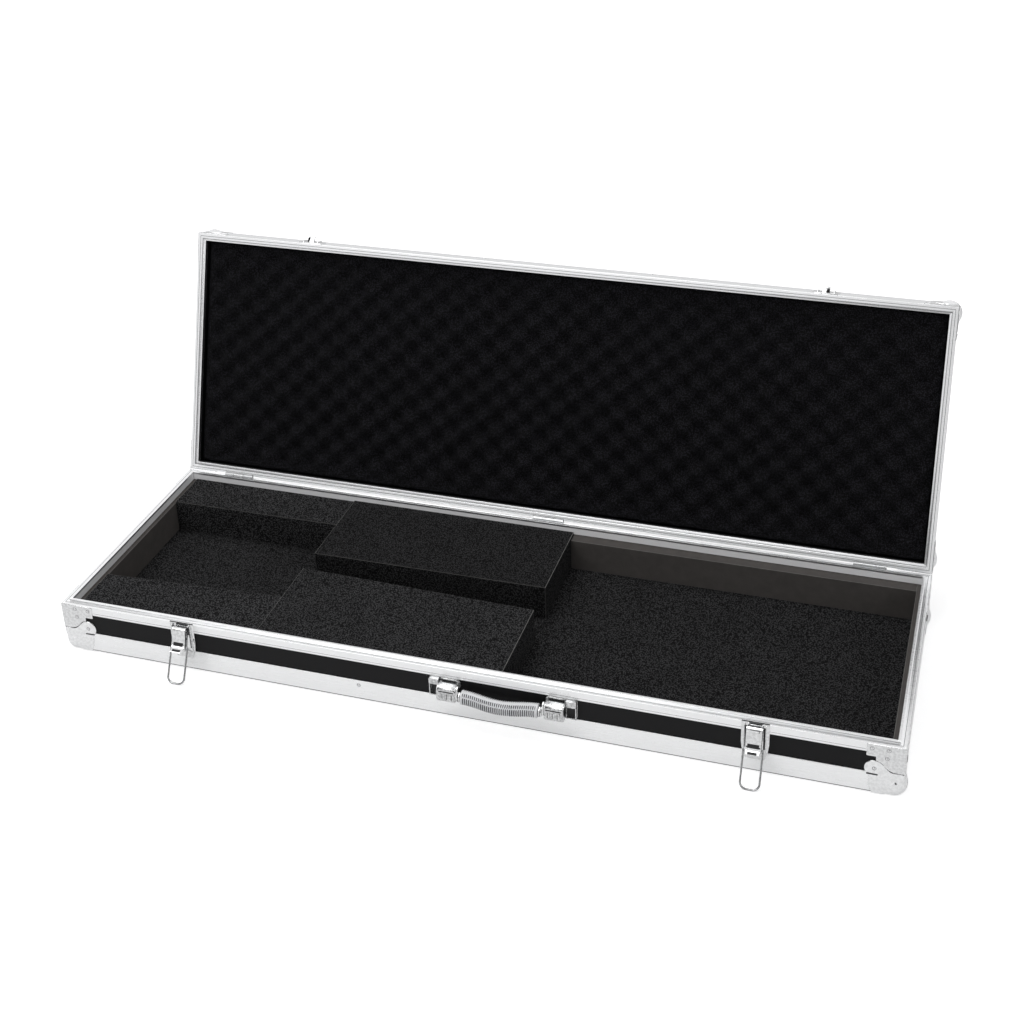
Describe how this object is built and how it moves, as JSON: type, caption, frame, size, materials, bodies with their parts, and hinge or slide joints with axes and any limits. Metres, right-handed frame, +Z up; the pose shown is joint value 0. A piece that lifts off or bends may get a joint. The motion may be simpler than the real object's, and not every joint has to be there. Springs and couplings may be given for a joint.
{
  "type": "bass guitar flight case",
  "caption": "Long flight case for a bass guitar: aluminium-edged black panels, a hinged lid with foam, draw latches, a folding handle and foam blocks shaping the inside.",
  "frame": {"origin": "centre of the underside of the base's bottom panel", "axes": "+X along the case's length, -Y the front with latches and handle, +Z up; the lid stands open at the back"},
  "size_m": [1.251, 0.6137, 0.4752],
  "materials": {
    "edging": "satin",
    "hardware": "gloss",
    "panel": "satin",
    "foam": "matte",
    "liner": "matte",
    "grip": "satin"
  },
  "bodies": {
    "base": {"base_bottom_panel": "panel", "base_front_panel": "panel", "base_back_panel": "panel", "base_left_panel": "panel", "base_right_panel": "panel", "base_angle_front": "edging", "base_angle_back": "edging", "base_angle_left": "edging", "base_angle_right": "edging", "base_rim_front": "edging", "base_rim_back": "edging", "base_rim_left": "edging", "base_rim_right": "edging", "base_ball_corner_fl": "hardware", "base_ball_corner_fr": "hardware", "base_ball_corner_bl": "hardware", "base_ball_corner_br": "hardware", "base_brace_fl": "hardware", "base_brace_fr": "hardware", "base_brace_bl": "hardware", "base_brace_br": "hardware", "hinge_base_leaves": "hardware", "hinge_pins": "hardware", "latch_plate_left": "hardware", "latch_plate_right": "hardware", "latch_pin_left": "hardware", "latch_pin_right": "hardware", "handle_bracket_left": "hardware", "handle_bracket_right": "hardware", "handle_pins": "hardware", "floor_foam": "foam", "wall_liners": "liner", "headstock_block_rear": "foam", "headstock_block_front": "foam", "neck_block_rear": "foam", "neck_block_front": "foam", "base_rivets": "hardware"},
    "lid": {"lid_top_panel": "panel", "lid_front_panel": "panel", "lid_back_panel": "panel", "lid_left_panel": "panel", "lid_right_panel": "panel", "lid_long_angles": "edging", "lid_end_angles": "edging", "lid_rim_front": "edging", "lid_rim_back": "edging", "lid_rim_left": "edging", "lid_rim_right": "edging", "lid_ball_corners": "hardware", "lid_corner_braces": "hardware", "hinge_lid_leaves": "hardware", "latch_keeper_left": "hardware", "latch_keeper_right": "hardware", "lid_foam": "foam", "lid_rivets": "hardware"},
    "lever_left": {"latch_lever_left": "hardware"},
    "lever_right": {"latch_lever_right": "hardware"},
    "bail_left": {"latch_bail_left": "hardware"},
    "bail_right": {"latch_bail_right": "hardware"},
    "handle": {"handle_grip": "grip"}
  },
  "joints": [
    {"name": "lid_hinge", "type": "hinge", "parent": "base", "child": "lid", "pos_m": [0, 0.204, 0.079], "axis": [1, 0, 0], "range_deg": [0, 107.5]},
    {"name": "latch_lever_left_pivot", "type": "hinge", "parent": "base", "child": "lever_left", "pos_m": [-0.42, -0.2095, 0.072], "axis": [1, 0, 0], "range_deg": [-65, 15]},
    {"name": "latch_lever_right_pivot", "type": "hinge", "parent": "base", "child": "lever_right", "pos_m": [0.4253, -0.2095, 0.072], "axis": [1, 0, 0], "range_deg": [-65, 15]},
    {"name": "latch_bail_left_pivot", "type": "hinge", "parent": "lever_left", "child": "bail_left", "pos_m": [-0.42, -0.2165, 0.046], "axis": [-1, 0, 0], "range_deg": [-26.8, 168.2]},
    {"name": "latch_bail_right_pivot", "type": "hinge", "parent": "lever_right", "child": "bail_right", "pos_m": [0.4253, -0.2165, 0.046], "axis": [-1, 0, 0], "range_deg": [-26.8, 168.2]},
    {"name": "handle_pivot", "type": "hinge", "parent": "base", "child": "handle", "pos_m": [0.0733, -0.2125, 0.05515], "axis": [-1, 0, 0], "range_deg": [0, 95]}
  ]
}
